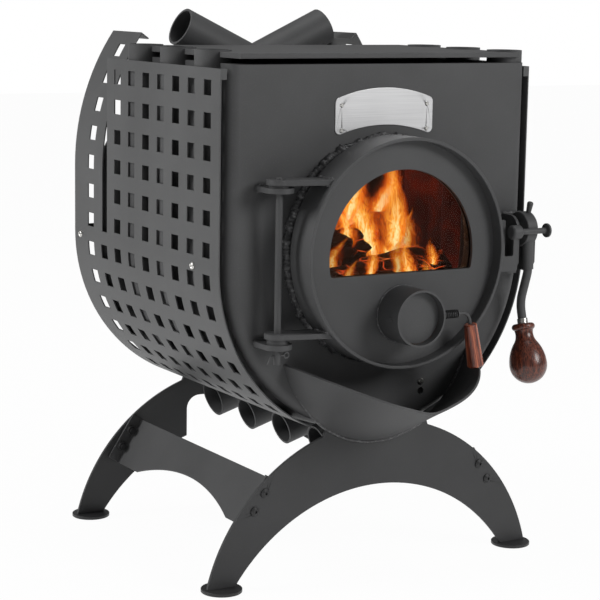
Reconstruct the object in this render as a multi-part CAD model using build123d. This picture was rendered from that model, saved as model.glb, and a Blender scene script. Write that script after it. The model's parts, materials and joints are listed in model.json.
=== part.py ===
from build123d import *
from math import acos, asin, atan2, cos, degrees, hypot, pi, radians, sin, sqrt, tan
import os

# Small steel wood stove whose firebox wall is a row of bent convection tubes.
# Tubes from the left and from the right lie side by side, cross under the belly
# and leave it on the far side, so cool air enters low and warm air leaves on top.
# The model is built with X = 0 on the mid-plane, Y = 0 on the front face of the
# firebox and Z = 0 at the centre of the round belly. save_all() then moves the
# origin to the middle of the base, on the floor.

# Sheet thicknesses
plate_sheet = 4.0
roof_sheet = 6.0
cook_sheet = 6.0
web_sheet = 4.0
web_end = 80.0
shield_sheet = 1.5
leg_sheet = 4.0
lip_sheet = 2.5

# Clearances
tube_gap = 0.3
weld_gap = 0.15
shield_air = 1.0
running = 0.08
bolt_play = 0.15
rest_gap = 0.3

# Convection tubes
shield_radius = 212.0
tube_od = 42.4
tube_wall = 2.6
tubes_per_side = 3
rear_tube_od = 48.3
rear_tube_wall = 2.9
mouth_tilt = 17.0
mouth_run = 127.0
rim_height = 242.0
cross_slope = 25.0
cross_bend = 100.0
cross_corner = 120.4
cross_reach = 335.0

# Firebox shell
plate_radius = 203.0
plate_top = 227.5
knuckle = 12.0
keyhole_x = 61.5
keyhole_z = -162.0
keyhole_radius = 4.2
keyhole_screw_radius = 4.0
keyhole_screw_height = 2.6
keyhole_screw_rise = 11.5
cook_height = 240.0
cook_half_width = 191.0
cook_overhang = 1.0
cook_back_gap = 1.0

# Door, its seat and its window
door_z = 14.3
neck_radius = 125.0
neck_wall = 4.0
neck_length = 36.1
bead_radius = 5.0
ring_play = 4.35
ring_wall = 4.0
ring_front = 60.5
ring_back = 18.0
door_recess = 15.1
door_sheet = 4.0
gasket_height = 5.0
gasket_width = 7.0
window_radius = 98.5
window_z = 11.5
window_sill = -9.5
window_corner = 3.0
glass_sheet = 4.0
glass_lap = 9.5
clamp_sheet = 2.0
clamp_lap = 3.5

# Air inlet in the door and its damper
inlet_radius = 33.0
inlet_wall = 2.5
inlet_length = 42.6
inlet_z = -56.5
damper_play = 0.6
damper_sheet = 2.0
damper_depth = 10.0
axle_radius = 2.0
axle_tail = 1.6
axle_reach = 66.0
axle_bend = 11.0
grip_lean = 11.0
grip_drop = 5.0
grip_length = 51.6
grip_top_radius = 7.8
grip_base_radius = 9.7
grip_bore_depth = 24.0
spring_wire = 1.7
spring_radius = 4.2
spring_pitch = 2.5
spring_turns = 9
spring_start = 34.2
spring_stop_radius = 4.6
spring_stop_length = 1.6

# Door hinge
hinge_x = -154.0
hinge_y = -27.0
hinge_pin_radius = 4.0
lug_sheet = 6.0
lug_half_width = 16.5
arm_half_width = 15.0
upper_lug_z = 87.4
lower_lug_z = -88.6
washer_sheet = 3.0
washer_radius = 12.0
pin_above = 2.0
pin_below = 18.0
split_pin_radius = 1.1
split_pin_drop = 9.0
split_pin_half = 9.0
split_pin_eye = 3.0
split_pin_below = 8.0
washer_slack = 0.05

# Latch
latch_y = -24.0
latch_z = 30.0
cam_radius = 21.0
cam_width = 15.0
cam_x = 188.0
latch_pin_radius = 5.0
bar_radius = 3.5
bar_left = 151.0
bar_right = 206.5
head_radius = 8.5
head_length = 15.0
bar_washer = 3.0
stud_lean = 15.0
stud_length = 13.5
stud_radius = 4.0
cheek_sheet = 4.0
cheek_gap = 20.0
cheek_radius = 16.0
nose_back = 6.0
nose_z = 31.0
bracket_low = -22.0
bracket_base = 3.0
shelf_left = 152.0
shelf_depth = 30.0
catch_sheet = 4.0
catch_right = 169.6
catch_slot_left = 150.4
catch_slot_right = 163.1
catch_slot_low = 0.0
catch_low = -18.0
catch_prong = 33.0
catch_tip = 44.0
catch_fold = 8.0
catch_rib = 3.0

# Lever below the latch cam, with its turned handle
rod_radius = 5.3
socket_radius = 6.6
socket_length = 30.0
rod_points = [(-35.0, 12.5), (-37.0, -20.0), (-24.0, -60.0), (-38.0, -110.0)]
rod_bends = [30.0, 38.0]
ferrule_radius = 6.4
ferrule_length = 6.0
knob_length = 73.0
knob_ring_radius = 14.0
knob_ring_length = 8.0
knob_flare_radius = 14.0
knob_flare = 23.0
knob_bulb_radius = 22.8
knob_bore_depth = 26.0

# Ash lip under the door
lip_z = -84.8
lip_radius = 129.9
lip_half_width = 126.8
lip_tip_z = -113.0
lip_reach = 111.0
lip_stand = 6.0
lip_drop = 46.0
lip_root_depth = 2.0

# Perforated side shields
shield_front = 6.0
shield_top = 223.0
shield_end = 67.3
shield_flange = 8.3
shield_tab = 12.0
slit_front = 298.0
slit_width = 14.0
slit_low = 7.0
strip_back = 394.0
strip_bend_z = 84.0
strip_bend = 294.6
strip_angle = 35.2
strip_fold = 12.5
hole_size = 17.5
hole_rows = 13
hole_columns = 9
hole_first_y = 36.0
hole_pitch_y = 38.7
hole_first_s = 18.2
hole_pitch_s = 36.6
shield_screw_z = -3.3
shield_screw_radius = 2.4
shield_screw_head = 4.6
shield_screw_length = 9.0
shield_boss_radius = 7.0
bracket_reach = 24.6
bracket_sheet = 3.0
bracket_width = 30.0
bracket_half = 11.0
bracket_screw = 14.6

# Nameplate without any writing
name_half_width = 67.0
name_low = 145.0
name_height = 43.0
name_rise = 12.5
name_corner = 6.0
name_sheet = 1.2
name_rivet_x = 58.5
name_rivet_z = (152.0, 181.0)
name_rivet_radius = 2.6

# Legs
leg_outer_radius = 232.5
leg_outer_z = -425.0
leg_inner_radius = 230.8
leg_inner_z = -500.8
leg_bottom = -368.0
leg_cradle = 19.8
relief_half_width = 67.0
relief_top = -226.0
relief_corner = 18.0
foot_radius = 24.0
foot_sheet = 4.0
foot_inset = 19.4046
stretcher_turn = 37.4755
stretcher_inset = 14.8878
stretcher_width = 64.0
stretcher_slope = 56.6
stretcher_sheet = 3.0
stretcher_waist = 40.0
stretcher_flange = 15.0
leg_bolt_radius = 3.0
leg_bolt_head = 5.4
leg_bolt_dome = 3.3
leg_bolt_socket = 2.0
leg_nut_radius = 5.5
leg_nut_height = 5.0
leg_bolt_places = (19.0, 43.0)

# Flue outlet in the rear plate
flue_radius = 60.0
flue_wall = 2.0
flue_length = 60.0
flue_z = 95.0

# Sizes that follow from the ones above
tube_r = tube_od / 2
rear_r = rear_tube_od / 2
tube_line = shield_radius - shield_sheet - shield_air - tube_r
rear_line = shield_radius - shield_sheet - shield_air - rear_r
half_pitch = tube_od + tube_gap
right_ys = [plate_sheet + weld_gap + tube_r + 2 * half_pitch * i for i in range(tubes_per_side)]
left_ys = [y + half_pitch for y in right_ys]
cross_right_y = left_ys[-1] + tube_r + tube_gap + rear_r
cross_left_y = cross_right_y + rear_tube_od + tube_gap
rear_face = cross_left_y + rear_r + weld_gap
rear_back = rear_face + plate_sheet
roof_low = plate_top - roof_sheet
cross_turn = 90 - cross_slope
bend_x = rear_line - cross_bend
bend_z = cross_corner - cross_bend * tan(radians(cross_turn / 2))
gable_radius = cross_bend + plate_radius - rear_line
neck_inner = neck_radius - neck_wall
ring_inner = neck_radius + ring_play
ring_radius = ring_inner + ring_wall
door_face = -ring_front + door_recess
door_back = door_face + door_sheet
inlet_front = door_face - inlet_length
axle_y = inlet_front + damper_depth + damper_sheet + axle_radius
bar_orbit = cam_radius + bar_radius + weld_gap
catch_front = latch_y - bar_orbit + head_radius + rest_gap + 0.2
leg_radius = plate_radius + weld_gap
rear_screw_y = rear_back + bracket_screw
cheek_left = cam_x - cheek_gap / 2 - cheek_sheet - 2
cheek_right = cam_x + cam_width / 2 + 0.5

on_top = (Align.CENTER, Align.CENTER, Align.MIN)
pieces = {}


def along_y(sketch, start, length):
    """Extrude a sketch drawn in X and Z from Y = start, towards the back."""
    return Pos(0, start, 0) * extrude(Plane.XZ * sketch, length, dir=(0, 1, 0))


def along_x(sketch, start, length):
    """Extrude a sketch drawn in Y and Z from X = start, to the right."""
    return Pos(start, 0, 0) * extrude(Plane.YZ * sketch, length, dir=(1, 0, 0))


def rod_x(radius, x0, x1, y, z):
    return Pos((x0 + x1) / 2, y, z) * Rot(0, 90, 0) * Cylinder(radius, x1 - x0)


def rod_y(radius, y0, y1, x, z):
    return Pos(x, (y0 + y1) / 2, z) * Rot(90, 0, 0) * Cylinder(radius, y1 - y0)


def rod_z(radius, z0, z1, x, y):
    return Pos(x, y, (z0 + z1) / 2) * Cylinder(radius, z1 - z0)


def block(x0, x1, y0, y1, z0, z1):
    return Pos((x0 + x1) / 2, (y0 + y1) / 2, (z0 + z1) / 2) * Box(x1 - x0, y1 - y0, z1 - z0)


def polar(radius, angle, cx=0.0, cz=0.0):
    return (cx + radius * cos(radians(angle)), cz + radius * sin(radians(angle)))


def arc_between(radius, a0, a1, cx=0.0, cz=0.0):
    """Arc in a flat sketch about (cx, cz), from angle a0 to angle a1 in degrees."""
    points = [polar(radius, a, cx, cz) for a in (a0, (a0 + a1) / 2, a1)]
    return ThreePointArc(*points)


def flip(shape):
    return mirror(shape, about=Plane.YZ)


def belly_path(line_radius, y):
    """Right-hand tube: from its low mouth on the left, round the belly, to Z = 0."""
    leave = -90 + mouth_tilt
    lx, lz = polar(line_radius, leave)
    mx = lx - mouth_run * cos(radians(mouth_tilt))
    mz = lz - mouth_run * sin(radians(mouth_tilt))
    mid = polar(line_radius, leave / 2)
    run = Line((mx, y, mz), (lx, y, lz))
    arc = ThreePointArc((lx, y, lz), (mid[0], y, mid[1]), (line_radius, y, 0))
    return [run, arc]


def upright_path(y):
    rise = Line((tube_line, y, 0), (tube_line, y, rim_height))
    return Wire(belly_path(tube_line, y) + [rise])


def crossing_path(y):
    """The rear tubes lean over inside the firebox and come out through the roof."""
    half = polar(cross_bend, cross_turn / 2, bend_x, bend_z)
    end = polar(cross_bend, cross_turn, bend_x, bend_z)
    tip_x = rear_line - cross_reach * cos(radians(cross_slope))
    tip_z = cross_corner + cross_reach * sin(radians(cross_slope))
    rise = Line((rear_line, y, 0), (rear_line, y, bend_z))
    bend = ThreePointArc((rear_line, y, bend_z), (half[0], y, half[1]), (end[0], y, end[1]))
    lean = Line((end[0], y, end[1]), (tip_x, y, tip_z))
    return Wire(belly_path(rear_line, y) + [rise, bend, lean])


def round_bar(path, radius):
    return sweep(Plane(origin=path @ 0, z_dir=path % 0) * Circle(radius), path=path)


def pipe(path, od, wall):
    return round_bar(path, od / 2) - round_bar(path, od / 2 - wall)


def all_tubes(growth):
    """Solid bars in the places of the tubes, grown for cutting."""
    bars = {}
    for i, y in enumerate(right_ys):
        bars[f"tube_right_{i + 1}"] = round_bar(upright_path(y), tube_r + growth)
    for i, y in enumerate(left_ys):
        bars[f"tube_left_{i + 1}"] = flip(round_bar(upright_path(y), tube_r + growth))
    bars["crossing_tube_right"] = round_bar(crossing_path(cross_right_y), rear_r + growth)
    bars["crossing_tube_left"] = flip(round_bar(crossing_path(cross_left_y), rear_r + growth))
    return bars


def make_tubes():
    for i, y in enumerate(right_ys):
        pieces[f"tube_right_{i + 1}"] = pipe(upright_path(y), tube_od, tube_wall)
    for i, y in enumerate(left_ys):
        pieces[f"tube_left_{i + 1}"] = flip(pipe(upright_path(y), tube_od, tube_wall))
    right = pipe(crossing_path(cross_right_y), rear_tube_od, rear_tube_wall)
    left = pipe(crossing_path(cross_left_y), rear_tube_od, rear_tube_wall)
    pieces["crossing_tube_right"] = right
    pieces["crossing_tube_left"] = flip(left)
    hole = rod_x(shield_screw_radius + bolt_play, -shield_radius, -tube_line, left_ys[0], shield_screw_z)
    pieces["tube_left_1"] -= hole


def rim_profile(radius):
    """Half section of a plate with a rolled edge: radius across, Y is depth."""
    flat = radius - knuckle
    inner = knuckle - plate_sheet
    outline = [
        Line((0, 0), (flat, 0)),
        arc_between(knuckle, -90, 0, flat, knuckle),
        Line((radius, knuckle), (flat + inner, knuckle)),
        arc_between(inner, 0, -90, flat, knuckle),
        Line((flat, plate_sheet), (0, plate_sheet)),
        Line((0, plate_sheet), (0, 0)),
    ]
    return make_face(Wire(outline))


def dished_plate(gabled):
    """End plate with a rolled rim round the belly, front face at Y = 0.

    The rear one ends in a gable, along the two tubes that cross on its ridge.
    """
    half = rim_profile(plate_radius)
    if not gabled:
        return revolve(half, Axis.Y, 180) + extrude(half, plate_top) + extrude(flip(half), plate_top)
    bend = rim_profile(gable_radius)
    corner = revolve(bend, Axis.Y, cross_turn)
    beyond = block(-plate_radius, 0, -1, knuckle + 1, -plate_radius, 2 * plate_radius)
    slope = extrude(bend, plate_radius) - Rot(0, cross_turn, 0) * Pos(-bend_x, 0, 0) * beyond
    side = Pos(bend_x, 0, bend_z) * Rot(0, -cross_turn, 0) * (corner + slope)
    plate = revolve(half, Axis.Y, 180) + extrude(half, bend_z) + extrude(flip(half), bend_z)
    middle = block(-bend_x, bend_x, 0, plate_sheet, 0, bend_z + bend_x * tan(radians(cross_slope)))
    return plate + side + flip(side) + middle


def make_end_plates():
    bars = all_tubes(weld_gap)
    front = dished_plate(False) - rod_y(neck_inner, -1, plate_sheet + 1, 0, door_z)
    front -= bars["tube_right_1"]
    front -= rod_y(keyhole_radius, -1, plate_sheet + 1, keyhole_x, keyhole_z)
    pieces["front_plate"] = front
    rear = Pos(0, rear_back, 0) * mirror(dished_plate(True), about=Plane.XZ)
    rear -= rod_y(flue_radius - flue_wall, rear_face - 1, rear_back + 1, 0, flue_z)
    rear -= bars["crossing_tube_left"]
    pieces["rear_plate"] = rear


def wall_section(outer, sheet, end, upright, bend=0, turn=0, run=0):
    """Section of a wall on the left, between its outer radius and that less its sheet.

    It starts at an angle below the horizontal and goes up to a height. There it can
    turn inwards through an angle, on an outer bend radius, and run on straight.
    """
    inner = outer - sheet
    lower = [arc_between(outer, 180 + end, 180), Line((-outer, 0), (-outer, upright))]
    upper = [Line((-inner, upright), (-inner, 0)), arc_between(inner, 180, 180 + end)]
    tip0, tip1 = (-outer, upright), (-inner, upright)
    if turn:
        cx = bend - outer
        ends = [polar(r, 180 - turn, cx, upright) for r in (bend, bend - sheet)]
        lower.append(arc_between(bend, 180, 180 - turn, cx, upright))
        upper.insert(0, arc_between(bend - sheet, 180 - turn, 180, cx, upright))
        tip0, tip1 = ends
        if run:
            step = polar(run, 90 - turn)
            tip0, tip1 = [(e[0] + step[0], e[1] + step[1]) for e in ends]
            lower.append(Line(ends[0], tip0))
            upper.insert(0, Line(tip1, ends[1]))
    start = Line(polar(inner, 180 + end), polar(outer, 180 + end))
    return make_face(Wire(lower + [Line(tip0, tip1)] + upper + [start]))


def below_tube(y, line, radius):
    """Everything under the right-hand tube of one bay, where it crosses to the left."""
    touch = polar(line - radius, -90 + mouth_tilt)
    size = 4 * line
    solid = Pos(0, 0, weld_gap - size / 2) * Box(size, size, size)
    return Pos(touch[0], y, touch[1]) * Rot(0, -mouth_tilt, 0) * solid


def side_web(y):
    """Left wall in one upright bay, down to the right-hand tube that crosses there."""
    section = wall_section(tube_line + web_sheet / 2, web_sheet, web_end, roof_low)
    strip = along_y(section, y - tube_r, tube_od)
    return strip - below_tube(y, tube_line, tube_r)


def rear_web(y, tube):
    """Left wall in a rear bay: it follows the other rear tube up to the ridge."""
    half = web_sheet / 2
    section = wall_section(rear_line + half, web_sheet, web_end, bend_z,
                           cross_bend + half, cross_turn, cross_reach / 2)
    strip = along_y(section, y - rear_r, rear_tube_od) - below_tube(y, rear_line, rear_r) - tube
    return strip.solids().sort_by(Axis.X)[0]


def make_webs():
    bars = all_tubes(weld_gap)
    left = [side_web(y) for y in right_ys]
    left.append(rear_web(cross_right_y, bars["crossing_tube_right"]))
    right = [side_web(y) for y in left_ys]
    right.append(rear_web(cross_left_y, flip(bars["crossing_tube_left"])))
    pieces["side_webs_left"] = Compound([w.solid() for w in left])
    pieces["side_webs_right"] = Compound([flip(w.solid()) for w in right])


def roof_end_outline():
    """Upright plate between the flat roof and the gabled back of the firebox."""
    wall = tube_line - web_sheet / 2 - weld_gap
    top = roof_low - weld_gap
    inner = cross_bend - web_sheet / 2
    slope = radians(cross_slope)
    apex = (0, bend_z + inner / cos(slope) + bend_x * tan(slope))
    right_end = polar(inner, cross_turn, bend_x, bend_z)
    left_end = polar(inner, 180 - cross_turn, -bend_x, bend_z)
    outline = [
        Line((-wall, bend_z), (-wall, top)),
        Line((-wall, top), (wall, top)),
        Line((wall, top), (wall, bend_z)),
        Line((wall, bend_z), (bend_x + inner, bend_z)),
        arc_between(inner, 0, cross_turn, bend_x, bend_z),
        Line(right_end, apex),
        Line(apex, left_end),
        arc_between(inner, 180 - cross_turn, 180, -bend_x, bend_z),
        Line((-bend_x - inner, bend_z), (-wall, bend_z)),
    ]
    return make_face(Wire(outline))


def make_top_plates():
    bars = all_tubes(tube_gap)
    half = tube_line + web_sheet / 2
    back = cross_right_y - rear_r - weld_gap
    roof = block(-half, half, plate_sheet + weld_gap, back, roof_low, plate_top)
    end = along_y(roof_end_outline(), back - plate_sheet, plate_sheet)
    low = cook_height - cook_sheet
    cook = block(-cook_half_width, cook_half_width, -cook_overhang, back - cook_back_gap, low, cook_height)
    for name, bar in bars.items():
        if not name.startswith("crossing"):
            roof -= bar
            cook -= bar
            end -= bar
    pieces["firebox_roof"] = roof
    pieces["roof_end_plate"] = end
    pieces["cook_plate"] = fillet(cook.edges().filter_by(Axis.X).group_by(Axis.Y)[0], 1.0)


def revolved(points_to_edges, z):
    """Turn a profile drawn as (radius, y) about a level axis at height z."""
    return Pos(0, 0, z) * revolve(make_face(Wire(points_to_edges)), Axis.Y, 360)


def ring_profile(inner, outer, y0, y1):
    corners = [(inner, y0), (outer, y0), (outer, y1), (inner, y1)]
    return [Line(corners[i], corners[(i + 1) % 4]) for i in range(4)]


def make_door_seat():
    """Round neck that the door closes on, with the weld bead at its foot."""
    tip = -neck_length
    profile = [
        Line((neck_inner, 0), (neck_inner, tip)),
        Line((neck_inner, tip), (neck_radius, tip)),
        Line((neck_radius, tip), (neck_radius, -bead_radius)),
        arc_between(bead_radius, -90, 0, neck_radius, 0),
        Line((neck_radius + bead_radius, 0), (neck_inner, 0)),
    ]
    pieces["door_neck"] = revolved(profile, door_z)


def d_shape(radius, sill, corner):
    """Circle about the window's centre, cut straight at the sill."""
    half = sqrt(radius * radius - (sill - window_z) ** 2)
    angle = degrees(atan2(sill - window_z, half))
    outline = [Line((-half, sill), (half, sill)), arc_between(radius, angle, 180 - angle, 0, window_z)]
    face = make_face(Wire(outline))
    if corner:
        face = fillet(face.vertices(), corner)
    return face


def make_door():
    ring = revolved(ring_profile(ring_inner, ring_radius, -ring_front, -ring_back), door_z)
    ring = fillet(ring.edges().group_by(Axis.Y)[0], 1.0)
    pieces["door_ring"] = ring
    disc = rod_y(ring_inner - weld_gap, door_face, door_back, 0, door_z)
    disc -= along_y(d_shape(window_radius, window_sill, window_corner), door_face - 1, door_sheet + 2)
    disc -= rod_y(inlet_radius - inlet_wall, door_face - 1, door_back + 1, 0, inlet_z)
    pieces["door_plate"] = disc
    middle = neck_radius - neck_wall / 2
    half = gasket_width / 2
    rope = revolved(ring_profile(middle - half, middle + half, door_back, door_back + gasket_height), door_z)
    pieces["door_gasket"] = fillet(rope.edges().group_by(Axis.Y)[-1], 2.0)
    glass = along_y(d_shape(window_radius + glass_lap, window_sill - glass_lap, 4.0), door_back, glass_sheet)
    pieces["window_glass"] = glass
    clamp_face = d_shape(window_radius + glass_lap + clamp_lap, window_sill - glass_lap - clamp_lap, 5.0)
    clamp_face -= d_shape(window_radius, window_sill, window_corner)
    pieces["glass_clamp"] = along_y(clamp_face, door_back + glass_sheet, clamp_sheet)


def make_air_inlet():
    collar = rod_y(inlet_radius, inlet_front, door_face, 0, inlet_z)
    collar -= rod_y(inlet_radius - inlet_wall, inlet_front - 1, door_face + 1, 0, inlet_z)
    collar -= rod_x(axle_radius + running, -inlet_radius - 1, inlet_radius + 1, axle_y, inlet_z)
    pieces["air_inlet_collar"] = collar
    bore = inlet_radius - inlet_wall - damper_play
    disc_y = inlet_front + damper_depth
    disc = rod_y(bore, disc_y, disc_y + damper_sheet, 0, inlet_z)
    pieces["damper_disc"] = disc
    pieces["damper_axle"] = make_axle()
    pieces["damper_grip"] = make_grip()
    pieces["damper_spring"] = make_spring()


def axle_path(start):
    end_x = axle_reach + axle_bend * sin(radians(90 - grip_lean))
    end_z = inlet_z - axle_bend + axle_bend * cos(radians(90 - grip_lean))
    half = radians((90 - grip_lean) / 2)
    mid = (axle_reach + axle_bend * sin(half), inlet_z - axle_bend + axle_bend * cos(half))
    bend = ThreePointArc((axle_reach, axle_y, inlet_z), (mid[0], axle_y, mid[1]), (end_x, axle_y, end_z))
    return Line((start, axle_y, inlet_z), (axle_reach, axle_y, inlet_z)), bend, (end_x, end_z)


def grip_frame():
    """Where the grip starts: a plane whose Z runs down the grip."""
    bend_end = axle_path(0)[2]
    down = (sin(radians(grip_lean)), 0, -cos(radians(grip_lean)))
    origin = (bend_end[0] + down[0] * grip_drop, axle_y, bend_end[1] + down[2] * grip_drop)
    return Plane(origin=origin, z_dir=down, x_dir=(0, 1, 0))


def make_axle():
    straight, bend, end = axle_path(-inlet_radius - axle_tail)
    tail = tuple(grip_frame().origin + grip_frame().z_dir * (grip_bore_depth - 1))
    path = Wire([straight, bend, Line((end[0], axle_y, end[1]), tail)])
    axle = round_bar(path, axle_radius)
    stop_x = spring_start + spring_pitch * spring_turns + spring_wire
    return axle + rod_x(spring_stop_radius, stop_x, stop_x + spring_stop_length, axle_y, inlet_z)


def make_grip():
    profile = [
        Line((0, 0), (grip_top_radius - 1.5, 0)),
        RadiusArc((grip_top_radius - 1.5, 0), (grip_top_radius, 1.5), -1.5),
        Line((grip_top_radius, 1.5), (grip_base_radius, grip_length - 2)),
        RadiusArc((grip_base_radius, grip_length - 2), (grip_base_radius - 2, grip_length), -2),
        Line((grip_base_radius - 2, grip_length), (0, grip_length)),
        Line((0, grip_length), (0, 0)),
    ]
    grip = grip_frame() * Rot(90, 0, 0) * revolve(make_face(Wire(profile)), Axis.Y, 360)
    plug = Cylinder(axle_radius + weld_gap, grip_bore_depth, align=on_top)
    return grip - grip_frame() * plug


def helix_point(radius, pitch, turn):
    a = 2 * pi * turn
    return Vector(pitch * turn, radius * cos(a), radius * sin(a))


def helix_tangent(radius, pitch, turn):
    a = 2 * pi * turn
    return Vector(pitch, -2 * pi * radius * sin(a), 2 * pi * radius * cos(a)).normalized()


def bend_from(start, direction, end):
    """Circular arc from start, leaving along direction, to end."""
    chord = end - start
    tilt = direction.get_angle(chord)
    side = direction - chord.normalized() * direction.dot(chord.normalized())
    sagitta = chord.length / 2 * tan(radians(tilt) / 2)
    return ThreePointArc(start, start + chord * 0.5 + side.normalized() * sagitta, end)


def biarc(p0, t0, p1, t1):
    """Two arcs that join two points and keep both end directions."""
    v = p1 - p0
    t = t0 + t1
    a = 2 * (1 - t0.dot(t1))
    b = v.dot(t)
    d = (-b + sqrt(b * b + a * v.dot(v))) / a
    joint = (p0 + t0 * d + p1 - t1 * d) * 0.5
    first = bend_from(p0, t0, joint)
    second = bend_from(p1, t1 * -1, joint)
    return [first, second]


def least_gap(path, turns, wire):
    """Least clear way between two turns, from points along the middle of the wire."""
    per_turn = 36
    steps = per_turn * turns
    middle = [path @ (i / steps) for i in range(steps + 1)]
    apart = [(a - b).length for i, a in enumerate(middle) for b in middle[i + per_turn // 2:]]
    return min(apart) - wire


def make_spring():
    """Coil round the axle, as one wire along half-turn pairs of arcs."""
    edges = []
    for k in range(2 * spring_turns):
        ends = (k / 2, (k + 1) / 2)
        p0, p1 = (helix_point(spring_radius, spring_pitch, turn) for turn in ends)
        t0, t1 = (helix_tangent(spring_radius, spring_pitch, turn) for turn in ends)
        edges += biarc(p0, t0, p1, t1)
    path = Wire(edges)
    gap = least_gap(path, spring_turns, spring_wire)
    print(f"spring: {spring_turns} turns, least gap between turns {gap:.2f} mm")
    return Pos(spring_start, axle_y, inlet_z) * round_bar(path, spring_wire / 2)


def lug(z):
    outline = Rectangle(2 * lug_half_width, -hinge_y, align=(Align.CENTER, Align.MIN))
    shape = Pos(hinge_x, hinge_y) * (outline + Circle(lug_half_width))
    shape -= Pos(hinge_x, hinge_y) * Circle(hinge_pin_radius + weld_gap)
    return Pos(0, 0, z) * extrude(shape, lug_sheet)


def arm(z):
    """Flat arm from the hinge pin to the side of the door ring."""
    reach = -ring_radius * 0.7
    body = Polygon((hinge_x, hinge_y - arm_half_width), (reach, -ring_front + 4), (reach, -ring_back - 4),
                   (hinge_x, hinge_y + arm_half_width), align=None)
    shape = body + Pos(hinge_x, hinge_y) * Circle(arm_half_width)
    shape -= Pos(hinge_x, hinge_y) * Circle(hinge_pin_radius + running)
    flat = Pos(0, 0, z) * extrude(shape, lug_sheet)
    return flat - rod_y(ring_radius + weld_gap, -2 * ring_front, 0, 0, door_z)


def make_hinge():
    upper_arm_z = upper_lug_z + lug_sheet + washer_sheet
    lower_arm_z = lower_lug_z + lug_sheet + 2 * washer_sheet
    pieces["hinge_lug_upper"] = lug(upper_lug_z)
    pieces["hinge_lug_lower"] = lug(lower_lug_z)
    pieces["hinge_arm_upper"] = arm(upper_arm_z)
    pieces["hinge_arm_lower"] = arm(lower_arm_z)
    low = lower_lug_z - pin_below
    pin = rod_z(hinge_pin_radius, low, upper_arm_z + lug_sheet + pin_above, hinge_x, hinge_y)
    split_z = lower_lug_z - split_pin_below
    half = split_pin_half
    pin -= rod_x(split_pin_radius + weld_gap, hinge_x - half, hinge_x + half, hinge_y, split_z)
    pieces["hinge_pin"] = fillet(pin.edges().filter_by(GeomType.CIRCLE).group_by(Axis.Z)[-1], 1.5)
    inner = hinge_pin_radius + weld_gap
    levels = [upper_lug_z + lug_sheet, lower_lug_z + lug_sheet, lower_lug_z + lug_sheet + washer_sheet]
    washers = []
    for z in levels:
        top = z + washer_sheet - washer_slack
        washer = rod_z(washer_radius, z + washer_slack, top, hinge_x, hinge_y)
        washers.append(washer - rod_z(inner, z - 1, z + washer_sheet + 1, hinge_x, hinge_y))
    pieces["hinge_washers"] = Compound([w.solid() for w in washers])
    pieces["hinge_split_pin"] = make_split_pin(split_z)


def make_split_pin(z):
    right = hinge_x + split_pin_half
    left = hinge_x - split_pin_half + 1
    points = [(right, z), (left, z), (left - 4, z - split_pin_drop)]
    path = FilletPolyline(*[(x, hinge_y, h) for x, h in points], radius=2.5)
    wire = round_bar(path.wire(), split_pin_radius)
    eye = Pos(right + split_pin_eye, hinge_y, z) * Rot(90, 0, 0) * Torus(split_pin_eye, split_pin_radius)
    return wire + eye


def catch_outline():
    """Fork on the door ring; the latch head lies in front of its right prong."""
    left = ring_radius * cos(asin((catch_low - door_z) / ring_radius)) - 6
    points = [
        (left, catch_low), (catch_right, catch_low), (catch_right, catch_prong),
        (catch_slot_right, catch_prong), (catch_slot_right, catch_slot_low),
        (catch_slot_left, catch_slot_low), (catch_slot_left, catch_tip), (left, catch_tip),
    ]
    shape = Polygon(*points, align=None)
    corners = shape.vertices().filter_by_position(Axis.X, catch_slot_left - 1, catch_right + 1)
    return fillet(corners, 2.5)


def make_catch():
    plate = along_y(catch_outline(), catch_front, catch_sheet)
    back = catch_front + catch_sheet
    fold = block(ring_radius + 4, catch_right - 4, back, back + catch_fold, catch_low, catch_low + catch_rib)
    hook = plate + fold
    pieces["latch_catch"] = hook - rod_y(ring_radius + weld_gap, -2 * ring_front, 0, 0, door_z)


def make_latch_bracket():
    nose_y = latch_y + nose_back
    front = nose_y - cheek_radius
    top = nose_z + cheek_radius
    side = Polygon((0, bracket_low), (nose_y - 8, bracket_low), (front, bracket_low + 12),
                   (front, nose_z), (nose_y, top), (0, top), align=None)
    side += Pos(nose_y, nose_z) * Circle(cheek_radius)
    side -= Pos(latch_y, latch_z) * Circle(latch_pin_radius + weld_gap)
    right = cheek_right + cheek_sheet
    base = block(cheek_left - 4, right + 3, -bracket_base, 0, bracket_low, top)
    shelf_top = catch_low - rest_gap
    shelf = block(shelf_left, cheek_left + cheek_sheet, -shelf_depth, 0, shelf_top - cheek_sheet, shelf_top)
    bracket = base + shelf
    bracket += along_x(side, cheek_left, cheek_sheet)
    bracket += along_x(side, cheek_right, cheek_sheet)
    pieces["latch_bracket"] = bracket
    pin = rod_x(latch_pin_radius, cheek_left - 2, right + 2, latch_y, latch_z)
    pieces["latch_pin"] = chamfer(pin.edges().filter_by(GeomType.CIRCLE), 0.8)


def rod_line():
    points = [(cam_x, y, z) for y, z in rod_points]
    return FilletPolyline(*points, radius=rod_bends).wire()


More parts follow.
